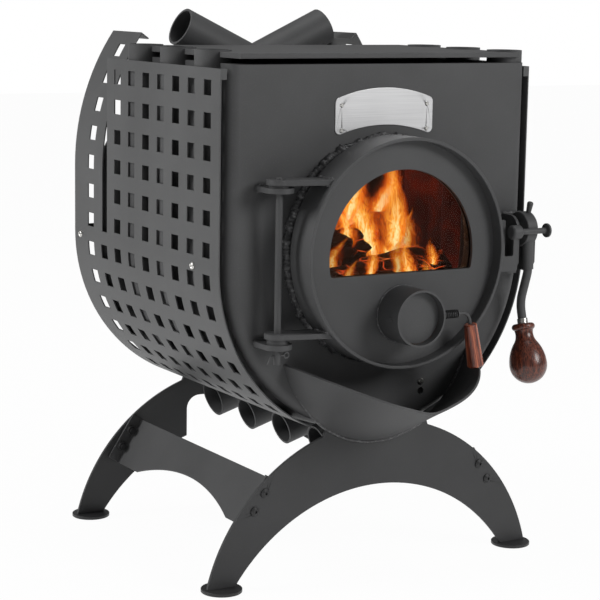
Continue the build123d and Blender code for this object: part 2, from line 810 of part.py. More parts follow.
def make_latch_lever():
    path = rod_line()
    left = cam_x - cam_width / 2
    right = cam_x + cam_width / 2
    cam = rod_x(cam_radius, left, right, latch_y, latch_z)
    cam = chamfer(cam.edges().filter_by(GeomType.CIRCLE), 0.8)
    cam += rod_x(latch_pin_radius + 4, cheek_left + cheek_sheet + 0.4, left + 1, latch_y, latch_z)
    start = path @ 0
    down = path % 0
    socket = Cylinder(socket_radius, socket_length + 8, align=on_top)
    cam += Plane(origin=start, z_dir=down) * Pos(0, 0, -8) * socket
    lean = radians(stud_lean)
    foot = cam_radius - 2
    stud_origin = (right - stud_radius, latch_y - foot * sin(lean), latch_z + foot * cos(lean))
    stud_plane = Plane(origin=stud_origin, z_dir=(0, -sin(lean), cos(lean)))
    stud = Cone(0.7 * stud_radius, stud_radius, stud_length + 2, align=on_top)
    cam += stud_plane * fillet(stud.edges().group_by(Axis.Z)[-1], 0.6 * stud_radius)
    cam -= rod_x(latch_pin_radius + running, cheek_left, right + 1, latch_y, latch_z)
    cam -= round_bar(path, rod_radius + weld_gap)
    pieces["latch_cam"] = cam
    pieces["lever_rod"] = round_bar(path, rod_radius)
    make_bar()
    make_knob(path @ 1, path % 1)


def make_bar():
    y = latch_y - bar_orbit
    bar = rod_x(bar_radius, bar_left + 2, bar_right, y, latch_z)
    head = rod_x(head_radius, bar_left, bar_left + head_length, y, latch_z)
    head = fillet(head.edges().filter_by(GeomType.CIRCLE), 3.5)
    washer = rod_x(head_radius, bar_right - bar_washer, bar_right, y, latch_z)
    pieces["latch_bar"] = bar + head + fillet(washer.edges().filter_by(GeomType.CIRCLE), 0.8)


def make_knob(end, direction):
    """Ferrule and turned wooden handle, drawn down the end of the lever rod."""
    frame = Plane(origin=end - direction * knob_bore_depth, z_dir=direction)
    ferrule = Cylinder(ferrule_radius, ferrule_length, align=(Align.CENTER, Align.CENTER, Align.MAX))
    ferrule -= Cylinder(rod_radius + weld_gap, 3 * ferrule_length)
    pieces["lever_ferrule"] = frame * ferrule
    ring_top = (knob_ring_radius - 4, 0)
    ring_low = (knob_ring_radius - 2.5, knob_ring_length)
    flare = (knob_flare_radius, knob_flare)
    bulb_z = knob_length - knob_bulb_radius
    flank = TangentArc((knob_bulb_radius, bulb_z), flare, tangent=(0, -1))
    profile = [
        Line((0, 0), ring_top),
        ThreePointArc(ring_top, (knob_ring_radius, knob_ring_length / 2), ring_low),
        TangentArc(flare, ring_low, tangent=flank % 1),
        flank,
        arc_between(knob_bulb_radius, 0, 90, 0, bulb_z),
        Line((0, knob_length), (0, 0)),
    ]
    knob = frame * Rot(90, 0, 0) * revolve(make_face(Wire(profile)), Axis.Y, 360)
    plug = Cylinder(rod_radius + weld_gap, knob_bore_depth + weld_gap, align=on_top)
    pieces["lever_knob"] = knob - frame * plug


def lip_rim(s):
    """Free edge of the ash lip, s from -1 at one tip to 1 at the other."""
    x = (lip_half_width + 0.6) * s
    y = -lip_stand - lip_reach * (1 - abs(s) ** 3)
    z = lip_tip_z - lip_drop * (1 - abs(s) ** 1.31)
    return (x, y, z)


def make_ash_lip():
    """Scoop whose root is an arc on the front plate, below the door."""
    rim = Spline(*[lip_rim(i / 6 - 1) for i in range(13)])
    tip_z = lip_z - sqrt(lip_radius ** 2 - lip_half_width ** 2)
    root = ThreePointArc((-lip_half_width, lip_root_depth, tip_z), (0, lip_root_depth, lip_z - lip_radius),
                         (lip_half_width, lip_root_depth, tip_z))
    sheet = Face.make_surface_from_curves(root.edge(), rim.edge())
    scoop = Solid.thicken(sheet, lip_sheet)
    behind = block(-plate_radius, plate_radius, 0, plate_radius, -2 * plate_radius, plate_radius)
    pieces["ash_lip"] = scoop - behind


def hole_cutter(y, s, leaning):
    """Square hole at arc length s up the shield's outer face, s = 0 at Z = 0."""
    if s < 0:
        angle = degrees(-s / shield_radius)
        place = Rot(0, -angle, 0) * Pos(-shield_radius, y, 0)
    elif leaning and s > strip_bend_z:
        angle = degrees((s - strip_bend_z) / strip_bend)
        centre = -shield_radius + strip_bend
        place = Pos(centre, y, strip_bend_z) * Rot(0, angle, 0) * Pos(-strip_bend, 0, 0)
    else:
        place = Pos(-shield_radius, y, s)
    return place * Box(8, hole_size, hole_size)


def shield_holes():
    """Rows run down from the top; the slit takes the place of part of one column."""
    last = hole_columns - 1
    cutters = []
    for row in range(hole_rows):
        s = hole_first_s + hole_pitch_s * (hole_rows // 2 - row)
        for column in range(hole_columns):
            beside_slit = column == last - 1 and row <= hole_rows // 2
            if beside_slit or (row == 0 and column < last):
                continue
            cutters.append(hole_cutter(hole_first_y + hole_pitch_y * column, s, column == last))
    return cutters


def make_shields():
    sheet = shield_sheet
    slit_back = slit_front + slit_width
    upright = wall_section(shield_radius, sheet, shield_end, shield_top)
    leaning = wall_section(shield_radius, sheet, shield_end, strip_bend_z, strip_bend, strip_angle)
    main = along_y(upright, shield_front, slit_back - shield_front)
    strip = along_y(leaning, slit_back, strip_back - slit_back)
    front_tab = block(-shield_radius, shield_flange - shield_radius, shield_front, shield_front + sheet,
                      shield_top - shield_tab, shield_top)
    edge = wall_section(shield_radius, shield_flange, shield_end, strip_bend_z, strip_bend, strip_angle)
    rear_edge = along_y(edge, strip_back - sheet, sheet)
    corner = polar(strip_bend, 180 - strip_angle, strip_bend - shield_radius, strip_bend_z)
    fold = block(0, strip_fold, slit_back, strip_back, -sheet, 0)
    fold = Pos(corner[0], 0, corner[1]) * Rot(0, strip_angle, 0) * fold
    shield = main + strip + front_tab + rear_edge + fold
    shield -= block(-shield_radius - 5, -shield_radius / 2, slit_front, slit_back, slit_low, 2 * shield_top)
    shield -= Compound([c.solid() for c in shield_holes()])
    bore = shield_screw_radius + bolt_play
    for y in (left_ys[0], rear_screw_y):
        shield -= rod_x(bore, -shield_radius - 5, 5 - shield_radius, y, shield_screw_z)
    pieces["shield_left"] = shield
    pieces["shield_right"] = flip(shield)


def make_shield_fixings():
    inside = shield_radius - shield_sheet
    seat = inside - rest_gap
    left_boss = rod_x(shield_boss_radius, -seat, -tube_line, left_ys[0], shield_screw_z)
    left_boss -= all_tubes(weld_gap)["tube_left_1"]
    right_boss = rod_x(shield_boss_radius, tube_line + web_sheet / 2, seat, left_ys[0], shield_screw_z)
    half = bracket_half
    angle = block(-seat, bracket_sheet - seat, rear_back, rear_back + bracket_reach, -half, half)
    angle += block(-seat, bracket_width - seat, rear_back, rear_back + bracket_sheet, -half, half)
    parts = [left_boss, right_boss, angle, flip(angle)]
    screws = []
    tip = shield_screw_length - inside
    for screw_y in (left_ys[0], rear_screw_y):
        bore = rod_x(shield_screw_radius + running, -inside - 1, tip + running, screw_y, shield_screw_z)
        parts = [p - bore - flip(bore) for p in parts]
        shank = rod_x(shield_screw_radius, -shield_radius - 0.5, tip, screw_y, shield_screw_z)
        head = rod_x(shield_screw_head, -shield_radius - 3.0, -shield_radius, screw_y, shield_screw_z)
        head = chamfer(head.edges().filter_by(GeomType.CIRCLE).group_by(Axis.X)[0], 1.6, 2.4)
        screws += [head + shank, flip(head + shank)]
    pieces["shield_brackets"] = Compound([s for p in parts for s in p.solids()])
    pieces["shield_screws"] = Compound([s.solid() for s in screws])


def make_nameplate():
    """Bare plate with arched upper and lower edges, and its four rivets."""
    w = name_half_width
    shoulder = name_low + name_height
    outline = [
        ThreePointArc((-w, name_low), (0, name_low + name_rise), (w, name_low)),
        Line((w, name_low), (w, shoulder)),
        ThreePointArc((w, shoulder), (0, shoulder + name_rise), (-w, shoulder)),
        Line((-w, shoulder), (-w, name_low)),
    ]
    face = fillet(make_face(Wire(outline)).vertices(), name_corner)
    plate = along_y(face, -name_sheet, name_sheet)
    rivets = []
    for x in (-name_rivet_x, name_rivet_x):
        for z in name_rivet_z:
            plate -= rod_y(1.4, -name_sheet - 1, 1, x, z)
            head = rod_y(name_rivet_radius, -name_sheet - 1.2, -name_sheet, x, z)
            head = chamfer(head.edges().filter_by(GeomType.CIRCLE).group_by(Axis.Y)[0], 0.8)
            rivets.append((head + rod_y(1.3, -name_sheet - 0.2, -0.05, x, z)).solid())
    screw = rod_y(keyhole_screw_radius, -keyhole_screw_height, 0, keyhole_x, keyhole_z + keyhole_screw_rise)
    rivets.append(chamfer(screw.edges().filter_by(GeomType.CIRCLE).group_by(Axis.Y)[0], 1.4).solid())
    pieces["nameplate"] = plate
    pieces["plate_rivets"] = Compound(rivets)


def leg_half():
    """Outline of the left half of a leg plate, in X and Z.

    It cradles the belly, and a cut straight towards the belly's centre ends the cradle.
    """
    cradle = -90 - leg_cradle
    foot_out = -sqrt(leg_outer_radius ** 2 - (leg_bottom - leg_outer_z) ** 2)
    foot_in = -sqrt(leg_inner_radius ** 2 - (leg_bottom - leg_inner_z) ** 2)
    nearest = leg_outer_z * sin(radians(cradle))
    reach = nearest - sqrt(nearest ** 2 - leg_outer_z ** 2 + leg_outer_radius ** 2)
    shoulder = polar(reach, cradle)
    a0 = degrees(atan2(shoulder[1] - leg_outer_z, shoulder[0]))
    a1 = degrees(atan2(leg_bottom - leg_outer_z, foot_out))
    b0 = degrees(atan2(leg_bottom - leg_inner_z, foot_in))
    outline = [
        arc_between(leg_radius, -90, cradle),
        Line(polar(leg_radius, cradle), shoulder),
        arc_between(leg_outer_radius, a0, a1, 0, leg_outer_z),
        Line((foot_out, leg_bottom), (foot_in, leg_bottom)),
        arc_between(leg_inner_radius, b0, 90, 0, leg_inner_z),
        Line((0, leg_inner_z + leg_inner_radius), (0, -leg_radius)),
    ]
    return make_face(Wire(outline))


def leg_plate(notched):
    face = leg_half() + flip(leg_half())
    if notched:
        relief = Rectangle(2 * relief_half_width, 3 * relief_half_width)
        relief = fillet(relief.vertices(), relief_corner)
        face -= Pos(0, relief_top - 1.5 * relief_half_width) * relief
    return face


def stretcher_frame():
    """Plane of the left stretcher: X runs down its width, Y towards the front."""
    across, along = cos(radians(stretcher_slope)), sin(radians(stretcher_slope))
    top = polar(leg_outer_radius - stretcher_inset, 90 + stretcher_turn, 0, leg_outer_z)
    origin = (top[0], rear_face - weld_gap, top[1])
    return Plane(origin=origin, x_dir=(-across, 0, -along), z_dir=(-along, 0, across))


def make_stretcher():
    """Inclined plate with an arched lower edge; its ends are bent out along the legs."""
    length = rear_face - leg_sheet - 2 * weld_gap
    w = stretcher_width
    straight = 0.16 * length
    outline = [
        Line((0, 0), (0, length)),
        Line((0, length), (w, length)),
        Line((w, length), (w, length - straight)),
        ThreePointArc((w, length - straight), (stretcher_waist, length / 2), (w, straight)),
        Line((w, straight), (w, 0)),
        Line((w, 0), (0, 0)),
    ]
    plate = extrude(make_face(Wire(outline)), stretcher_sheet)
    corner = (Align.MIN, Align.MIN, Align.MIN)
    tab = Box(w, stretcher_sheet, stretcher_flange + stretcher_sheet, align=corner)
    return stretcher_frame() * (plate + tab + Pos(0, length - stretcher_sheet, 0) * tab)


def leg_bolts():
    """Places of the bolts on one side, on the mid-line of the stretcher's end tab."""
    frame = stretcher_frame()
    out = stretcher_sheet + stretcher_flange / 2
    spots = []
    for along in leg_bolt_places:
        point = frame.origin + frame.x_dir * along + frame.z_dir * out
        spots.append((point.X, point.Z))
    return spots


def one_bolt(x, z):
    """Button head with a hexagon socket, shank and nut, at the front leg."""
    head = rod_y(leg_bolt_head, -leg_bolt_dome, 0, x, z)
    head = chamfer(head.edges().filter_by(GeomType.CIRCLE).group_by(Axis.Y)[0], 1.8, 2.6)
    socket = RegularPolygon(leg_bolt_socket, 6)
    head -= Pos(x, -leg_bolt_dome, z) * Rot(90, 0, 0) * extrude(socket, leg_bolt_dome / 2, both=True)
    seat = leg_sheet + weld_gap + stretcher_sheet + running
    shank = rod_y(leg_bolt_radius, 0, seat + leg_nut_height + 2, x, z)
    nut = Pos(x, seat, z) * Rot(-90, 0, 0) * extrude(RegularPolygon(leg_nut_radius, 6), leg_nut_height)
    return (head + shank + nut).solid()


def make_legs():
    front = along_y(leg_plate(False), 0, leg_sheet)
    rear = along_y(leg_plate(True), rear_back - leg_sheet, leg_sheet)
    left = make_stretcher()
    bolts = []
    for x, z in leg_bolts():
        for side in (1, -1):
            bore = rod_y(leg_bolt_radius + bolt_play, -5, rear_back + 5, side * x, z)
            front -= bore
            rear -= bore
            bolt = one_bolt(side * x, z)
            bolts.append(bolt)
            bolts.append(Pos(0, rear_back, 0) * mirror(bolt, about=Plane.XZ))
        left -= rod_y(leg_bolt_radius + bolt_play, -5, rear_back + 5, x, z)
    pieces["front_leg"] = front
    pieces["rear_leg"] = rear
    pieces["stretcher_left"] = left
    pieces["stretcher_right"] = flip(left)
    pieces["leg_bolts"] = Compound([b.solid() for b in bolts])
    discs = []
    foot_x = sqrt(leg_outer_radius ** 2 - (leg_bottom - leg_outer_z) ** 2) - foot_inset
    for x in (-foot_x, foot_x):
        for y in (leg_sheet / 2, rear_back - leg_sheet / 2):
            disc = rod_z(foot_radius, leg_bottom - foot_sheet, leg_bottom, x, y)
            discs.append(chamfer(disc.edges().filter_by(GeomType.CIRCLE), 0.5).solid())
    pieces["foot_discs"] = Compound(discs)


def make_flue():
    collar = rod_y(flue_radius, rear_back, rear_back + flue_length, 0, flue_z)
    collar -= rod_y(flue_radius - flue_wall, rear_back - 1, rear_back + flue_length + 1, 0, flue_z)
    pieces["flue_collar"] = collar


def save_all():
    """Move the origin to the middle of the base and write one file for each piece."""
    box = Compound([s for p in pieces.values() for s in p.solids()]).bounding_box()
    middle = (box.min + box.max) * 0.5
    shift = Pos(-middle.X, -middle.Y, -box.min.Z)
    print(f"moved by {-middle.X:.3f} {-middle.Y:.3f} {-box.min.Z:.3f}")
    os.makedirs("parts", exist_ok=True)
    for name, piece in pieces.items():
        solids = [shift * s for s in piece.solids()]
        export_step(solids[0] if len(solids) == 1 else Compound(solids), f"parts/{name}.step")


make_tubes()
make_end_plates()
make_webs()
make_top_plates()
make_door_seat()
make_door()
make_air_inlet()
make_hinge()
make_catch()
make_latch_bracket()
make_latch_lever()
make_ash_lip()
make_shields()
make_shield_fixings()
make_nameplate()
make_legs()
make_flue()
save_all()
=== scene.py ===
import bpy
import json
from math import asin, cos, pi, radians, sin, sqrt
from mathutils import Matrix, Vector, noise
from random import Random


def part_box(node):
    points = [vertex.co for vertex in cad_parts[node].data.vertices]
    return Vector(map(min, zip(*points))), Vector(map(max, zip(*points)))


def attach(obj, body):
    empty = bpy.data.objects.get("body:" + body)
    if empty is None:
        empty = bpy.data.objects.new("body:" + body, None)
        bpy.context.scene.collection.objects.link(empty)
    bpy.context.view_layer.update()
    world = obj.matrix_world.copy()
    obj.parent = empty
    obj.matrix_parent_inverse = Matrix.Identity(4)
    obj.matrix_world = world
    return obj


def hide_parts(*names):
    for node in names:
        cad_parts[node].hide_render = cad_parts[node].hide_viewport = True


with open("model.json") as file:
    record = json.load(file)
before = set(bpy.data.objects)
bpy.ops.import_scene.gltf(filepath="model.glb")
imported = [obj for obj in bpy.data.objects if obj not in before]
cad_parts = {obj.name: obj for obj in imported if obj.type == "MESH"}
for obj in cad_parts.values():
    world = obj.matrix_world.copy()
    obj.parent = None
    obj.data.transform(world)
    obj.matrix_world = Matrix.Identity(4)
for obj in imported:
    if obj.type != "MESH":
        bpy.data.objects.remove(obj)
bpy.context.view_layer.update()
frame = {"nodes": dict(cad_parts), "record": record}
nodes = frame["nodes"]
record = frame["record"]

# Sizes are in metres. Places come from the frame: the front plate's face and the
# round door neck give the planes and centres that the pieces are set on.
belly_radius = 0.203
plate_low = Vector(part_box("front_plate")[0])
neck_low, neck_high = (Vector(c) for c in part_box("door_neck"))
ring_low, ring_high = (Vector(c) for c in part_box("door_ring"))
front_y = plate_low.y
belly_z = plate_low.z + belly_radius
door_z = (ring_low.z + ring_high.z) / 2
ring_radius = (ring_high.x - ring_low.x) / 2
neck_foot = (neck_high.x - neck_low.x) / 2 - 0.005
hearth_reach = 0.1878
hearth_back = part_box("rear_plate")[1][1] - 0.0015
hearth_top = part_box("firebox_roof")[1][2] - 0.001

# Camera, fitted to the photograph's frame of 600 by 600
focal_length = 114.14
camera_place = Vector((-1.21238, -1.99143, 0.68681))
camera_turn = 30.954
camera_dip = 9.392
camera_roll = 0.990


def add_camera():
    turn, dip, roll = (radians(a) for a in (camera_turn, camera_dip, camera_roll))
    back = Vector((-sin(turn) * cos(dip), -cos(turn) * cos(dip), sin(dip)))
    right = (-back).cross(Vector((0, 0, 1))).normalized()
    up = right.cross(-back)
    across = cos(roll) * right + sin(roll) * up
    upright = cos(roll) * up - sin(roll) * right
    data = bpy.data.cameras.new("camera")
    data.lens = focal_length
    data.sensor_width = 36
    data.clip_start = 0.05
    camera = bpy.data.objects.new("camera", data)
    facing = Matrix((across, upright, back)).transposed().to_4x4()
    camera.matrix_world = Matrix.Translation(camera_place) @ facing
    bpy.context.collection.objects.link(camera)
    bpy.context.scene.camera = camera


# Materials

class Value:
    """A socket of a material's nodes. Arithmetic on values adds Math nodes."""

    def __init__(self, finish, socket):
        self.finish = finish
        self.socket = socket

    def math(self, operation, first, second=0.0, clamp=False):
        settings = {"operation": operation, "use_clamp": clamp}
        return self.finish.node("ShaderNodeMath", settings, {0: first, 1: second})

    def __add__(self, other):
        return self.math("ADD", self, other)

    def __radd__(self, other):
        return self.math("ADD", other, self)

    def __sub__(self, other):
        return self.math("SUBTRACT", self, other)

    def __rsub__(self, other):
        return self.math("SUBTRACT", other, self)

    def __mul__(self, other):
        return self.math("MULTIPLY", self, other)

    def __rmul__(self, other):
        return self.math("MULTIPLY", other, self)

    def __truediv__(self, other):
        return self.math("DIVIDE", self, other)

    def __pow__(self, other):
        return self.math("POWER", self, other)

    def __abs__(self):
        return self.math("ABSOLUTE", self)

    def sine(self):
        return self.math("SINE", self)

    def clamped(self):
        return self.math("ADD", self, 0.0, clamp=True)

    def between(self, low, high):
        """0 below low, 1 above high, and straight between them."""
        return self.math("ADD", (self - low) / (high - low), 0.0, clamp=True)


class Finish:
    """One material, built up from its nodes."""

    def __init__(self, name):
        self.material = bpy.data.materials.new(name)
        self.material.use_nodes = True
        self.tree = self.material.node_tree
        self.tree.nodes.clear()
        self.output = self.tree.nodes.new("ShaderNodeOutputMaterial")

    def node(self, kind, settings=None, sockets=None, out=0):
        node = self.tree.nodes.new(kind)
        for key, value in (settings or {}).items():
            if key == "stops":
                self.set_stops(node.color_ramp, value)
            else:
                setattr(node, key, value)
        for key, value in (sockets or {}).items():
            if isinstance(value, Value):
                self.tree.links.new(value.socket, node.inputs[key])
            else:
                node.inputs[key].default_value = value
        return Value(self, node.outputs[out])

    def set_stops(self, ramp, stops):
        while len(ramp.elements) < len(stops):
            ramp.elements.new(1.0)
        for element, (place, colour) in zip(ramp.elements, stops):
            element.position = place
            element.color = (*colour, 1)

    def place(self, turn=(0, 0, 0), stretch=(1, 1, 1)):
        """Coordinates in the stove's own frame, for a pattern that is turned and drawn out."""
        point = self.node("ShaderNodeTexCoord", out=3)
        sockets = {"Vector": point, "Rotation": turn, "Scale": stretch}
        return self.node("ShaderNodeMapping", {"vector_type": "TEXTURE"}, sockets)

    def noise(self, point, scale, detail=3.0, roughness=0.5, distortion=0.0):
        sockets = {"Vector": point, "Scale": scale, "Detail": detail, "Roughness": roughness,
                   "Distortion": distortion}
        return self.node("ShaderNodeTexNoise", None, sockets)

    def colours(self, factor, stops):
        return self.node("ShaderNodeValToRGB", {"stops": stops}, {"Fac": factor})

    def mix(self, factor, first, second, blend="MIX"):
        settings = {"data_type": "RGBA", "blend_type": blend}
        first = (*first, 1) if isinstance(first, tuple) else first
        second = (*second, 1) if isinstance(second, tuple) else second
        return self.node("ShaderNodeMix", settings, {0: factor, 6: first, 7: second}, out=2)

    def bump(self, height, strength, distance):
        sockets = {"Height": height, "Strength": strength, "Distance": distance}
        return self.node("ShaderNodeBump", None, sockets)

    def shade(self, **sockets):
        """Ends the material in a Principled shader."""
        named = {key.replace("_", " "): value for key, value in sockets.items()}
        for key, value in named.items():
            if isinstance(value, tuple) and len(value) == 3 and "Color" in key:
                named[key] = (*value, 1)
        shader = self.node("ShaderNodeBsdfPrincipled", None, named)
        self.tree.links.new(shader.socket, self.output.inputs["Surface"])
        return self.material


def towards_fire(paint):
    """1 on the faces that look at the fire from inside the tubes' centre line, and 0 elsewhere."""
    point = paint.place()
    middle = (0, (front_y + hearth_back) / 2, belly_z + 0.05)
    towards = paint.node("ShaderNodeVectorMath", {"operation": "SUBTRACT"}, {0: middle, 1: point})
    normal = paint.node("ShaderNodeNewGeometry", out=1)
    faces = paint.node("ShaderNodeVectorMath", {"operation": "DOT_PRODUCT"}, {0: normal, 1: towards}, out=1)
    x, y, z = (paint.node("ShaderNodeSeparateXYZ", None, {"Vector": point}, out=i) for i in range(3))
    below = paint.node("ShaderNodeMath", {"operation": "MINIMUM"}, {0: z - belly_z, 1: 0.0})
    reach = (x * x + below * below) ** 0.5
    side = 1 - reach.between(hearth_reach, hearth_reach + 0.0004)
    front = y.between(front_y + 0.0025, front_y + 0.003)
    rear = 1 - y.between(hearth_back, hearth_back + 0.0004)
    top = 1 - z.between(hearth_top, hearth_top + 0.0004)
    bottom = z.between(belly_z - 0.1, belly_z - 0.09)
    return side * front * rear * top * bottom * faces.between(0.0, 0.004)


def heat_paint(name, tone, speckle=0.12, roughness=0.56, hearth=False):
    """Matt heat-resistant paint: fine orange peel, dusty speckle and rubbed patches.

    With hearth, what looks into the firebox is black with soot and carries a painted dark red glow, painted
    firelight that stands in for the fire's light on the walls.
    """
    paint = Finish(name)
    point = paint.place()
    grain = paint.noise(point, 2600, 2)
    cloud = paint.noise(point, 9, 3, 0.55)
    dust = paint.noise(point, 700, 2).between(0.56, 0.72)
    dark = tuple(c * 0.86 for c in tone)
    light = tuple(c * 1.16 for c in tone)
    colour = paint.mix(cloud.between(0.3, 0.7), dark, light)
    colour = paint.mix(dust * speckle, colour, tuple(min(1, c * 2.4) for c in tone))
    sheen = roughness - 0.12 + cloud * 0.16 + grain * 0.08
    peel = grain * 0.6 + paint.noise(point, 420, 2) * 0.4
    sockets = {"Roughness": sheen, "Normal": paint.bump(peel, 0.22, 0.0004), "Specular_IOR_Level": 0.42}
    if hearth:
        inside = towards_fire(paint)
        # painted firelight: patches of dark red glow on the faces that look into the fire, standing in for the
        # fire's light on the walls
        embers = paint.noise(point, 22, 4, 0.65, 0.8)
        glow = paint.colours(embers, [(0.36, (0.004, 0.0004, 0.0002)), (0.52, (0.022, 0.0016, 0.0006)),
                                      (0.68, (0.075, 0.005, 0.001))])
        colour = paint.mix(inside, colour, (0.006, 0.003, 0.002))
        sockets["Emission_Color"] = paint.mix(inside, (0.0, 0.0, 0.0), glow)
        sockets["Emission_Strength"] = 1.0
        sockets["Roughness"] = sheen + inside * 0.4
    return paint.shade(Base_Color=colour, **sockets)


def weld_metal():
    """Painted weld: the same paint, lighter on the lumps' ridges, partly for thin paint where the steel shows
    and partly as a painted highlight.
    """
    weld = Finish("painted weld")
    point = weld.place()
    lumps = weld.noise(point, 260, 4, 0.6)
    # lighter on the ridges: part wear, where thin paint shows the steel, and part painted highlight on the
    # lumps
    colour = weld.mix(lumps.between(0.5, 0.8), (0.06, 0.06, 0.062), (0.26, 0.26, 0.265))
    roughness = 0.55 - lumps * 0.3
    return weld.shade(Base_Color=colour, Roughness=roughness, Metallic=0.15,
                      Normal=weld.bump(lumps, 0.6, 0.0012))


def brushed_steel():
    """Nameplate: fine level brush lines on bare steel."""
    steel = Finish("brushed steel")
    lines = steel.noise(steel.place(stretch=(180, 10, 1)), 2600, 3, 0.6)
    cloud = steel.noise(steel.place(), 40, 2)
    colour = steel.mix(lines, (0.45, 0.45, 0.46), (0.78, 0.78, 0.78))
    return steel.shade(Base_Color=colour, Metallic=0.85, Roughness=0.34 + cloud * 0.16,
                       Normal=steel.bump(lines, 0.12, 0.0002))


def plated_steel(name, tone, roughness):
    """Zinc plating on screws, rivets and washers."""
    zinc = Finish(name)
    point = zinc.place()
    spangle = zinc.node("ShaderNodeTexVoronoi", None, {"Vector": point, "Scale": 900.0}, out=0)
    cloud = zinc.noise(point, 300, 3)
    dark = tuple(c * 0.7 for c in tone)
    colour = zinc.mix(cloud.between(0.35, 0.65), dark, tone)
    colour = zinc.mix(0.12, colour, spangle, "OVERLAY")
    return zinc.shade(Base_Color=colour, Metallic=1.0, Roughness=roughness - 0.08 + cloud * 0.16,
                      Normal=zinc.bump(cloud, 0.1, 0.0003))


def varnished_wood(name, lean, dark, middle, light, band, figure):
    """Turned wood: fine grain along the handle, wavy bands as strong as figure, and open pores."""
    wood = Finish(name)
    point = wood.place(turn=lean, stretch=(1, 1, 8))
    wave = wood.noise(point, 34, 2, 0.5, 0.2)
    across = wood.node("ShaderNodeSeparateXYZ", None, {"Vector": point})
    rings = ((across * band + wave * 3.2) * 3.4).sine() * 0.5 + 0.5
    fibre = wood.noise(wood.place(turn=lean, stretch=(1, 1, 28)), 900, 3, 0.6).between(0.32, 0.68)
    pores = wood.noise(wood.place(turn=lean, stretch=(1, 1, 16)), 1500, 2).between(0.6, 0.72)
    tone = (rings ** 1.6) * figure + fibre * (0.9 - figure)
    colour = wood.colours(tone, [(0.12, dark), (0.42, middle), (0.8, light)])
    colour = wood.mix(pores * 0.55, colour, tuple(c * 0.35 for c in dark))
    return wood.shade(Base_Color=colour, Roughness=0.26 + fibre * 0.16,
                      Coat_Weight=0.3, Coat_Roughness=0.14,
                      Normal=wood.bump(fibre + pores * -0.5, 0.18, 0.0004))


def window_glass():
    """Ceramic glass with a faint amber tint and a trace of soot in patches."""
    glass = Finish("window glass")
    smoke = glass.noise(glass.place(), 25, 3)
    colour = glass.mix(smoke.between(0.35, 0.8), (1.0, 0.96, 0.92), (0.82, 0.72, 0.62))
    return glass.shade(Base_Color=colour, Roughness=0.02, IOR=1.12, Transmission_Weight=1.0)


def braided_rope():
    rope = Finish("glass fibre rope")
    yarn = rope.noise(rope.place(), 1400, 3, 0.6)
    colour = rope.mix(yarn, (0.12, 0.115, 0.11), (0.42, 0.41, 0.39))
    return rope.shade(Base_Color=colour, Roughness=0.92, Sheen_Weight=0.3, Normal=rope.bump(yarn, 0.5, 0.0008))


def burning_wood():
    """Charred split log: black checks, lighter ash-brown patches and glowing cracks."""
    char = Finish("burning wood")
    point = char.place(turn=(0, 0, -0.3), stretch=(3, 1, 1))
    bark = char.noise(point, 90, 5, 0.65, 0.5)
    cell = char.node("ShaderNodeTexVoronoi", {"feature": "DISTANCE_TO_EDGE"},
                     {"Vector": point, "Scale": 75.0})
    crack = 1 - cell.between(0.0, 0.05)
    hot = char.noise(char.place(), 26, 2).between(0.46, 0.62)
    colour = char.colours(bark, [(0.3, (0.012, 0.006, 0.004)), (0.6, (0.06, 0.022, 0.01)),
                                 (0.85, (0.19, 0.09, 0.04))])
    glow = char.colours(crack * hot, [(0.0, (0.0, 0.0, 0.0)), (0.5, (0.85, 0.09, 0.01)),
                                      (1.0, (1.0, 0.42, 0.08))])
    return char.shade(Base_Color=colour, Roughness=0.9, Emission_Color=glow, Emission_Strength=0.9,
                      Normal=char.bump(bark - crack * 0.6, 0.8, 0.004))


def glowing_embers():
    ember = Finish("glowing embers")
    point = ember.place()
    heat = ember.noise(point, 70, 4, 0.6)
    colour = ember.colours(heat, [(0.35, (0.01, 0.006, 0.005)), (0.75, (0.12, 0.07, 0.05))])
    height = ember.node("ShaderNodeSeparateXYZ", None, {"Vector": point}, out=2)
    upper = height.between(belly_z - 0.085, belly_z - 0.065)
    glow = ember.colours(heat * upper, [(0.42, (0.0, 0.0, 0.0)), (0.56, (0.6, 0.035, 0.003)),
                                        (0.72, (1.0, 0.28, 0.03))])
    return ember.shade(Base_Color=colour, Roughness=0.95, Emission_Color=glow, Emission_Strength=1.6,
                       Normal=ember.bump(heat, 0.8, 0.004))


def flame_colours(name, strength):
    """Flame: near white low in the middle, orange and then clear towards edge and tip."""
    flame = Finish(name)
    spot = flame.node("ShaderNodeUVMap", {"uv_map": "flame"})
    across = flame.node("ShaderNodeSeparateXYZ", None, {"Vector": spot})
    along = flame.node("ShaderNodeSeparateXYZ", None, {"Vector": spot}, out=1)
    waver = flame.noise(flame.place(stretch=(1, 1, 3)), 70, 3, 0.6, 1.6)
    wisp = 1 - abs(flame.noise(flame.place(stretch=(1, 1, 4)), 120, 2, 0.5, 2.2) * 2 - 1.0).between(0.0, 0.34)
    edge = abs(across * 2.0 - 1.0) + (waver - 0.5) * 1.5
    body = 1 - edge.between(0.1, 1.0)
    heat = body * (0.95 - along * 0.55) + (waver - 0.5) * 0.6 + wisp * 0.22
    tint = flame.colours(heat.clamped(), [(0.05, (0.10, 0.003, 0.0)), (0.28, (0.62, 0.05, 0.002)),
                                          (0.5, (0.95, 0.17, 0.008)), (0.76, (1.0, 0.40, 0.045)),
                                          (0.98, (1.0, 0.80, 0.36))])
    alpha = (body * (1.0 - along ** 2.0) + (waver - 0.66) * 0.9 + wisp * 0.2).between(0.04, 0.75)
    return flame.shade(Base_Color=(0.0, 0.0, 0.0), Roughness=1.0, Specular_IOR_Level=0.0,
                       Emission_Color=tint, Emission_Strength=strength, Alpha=alpha)


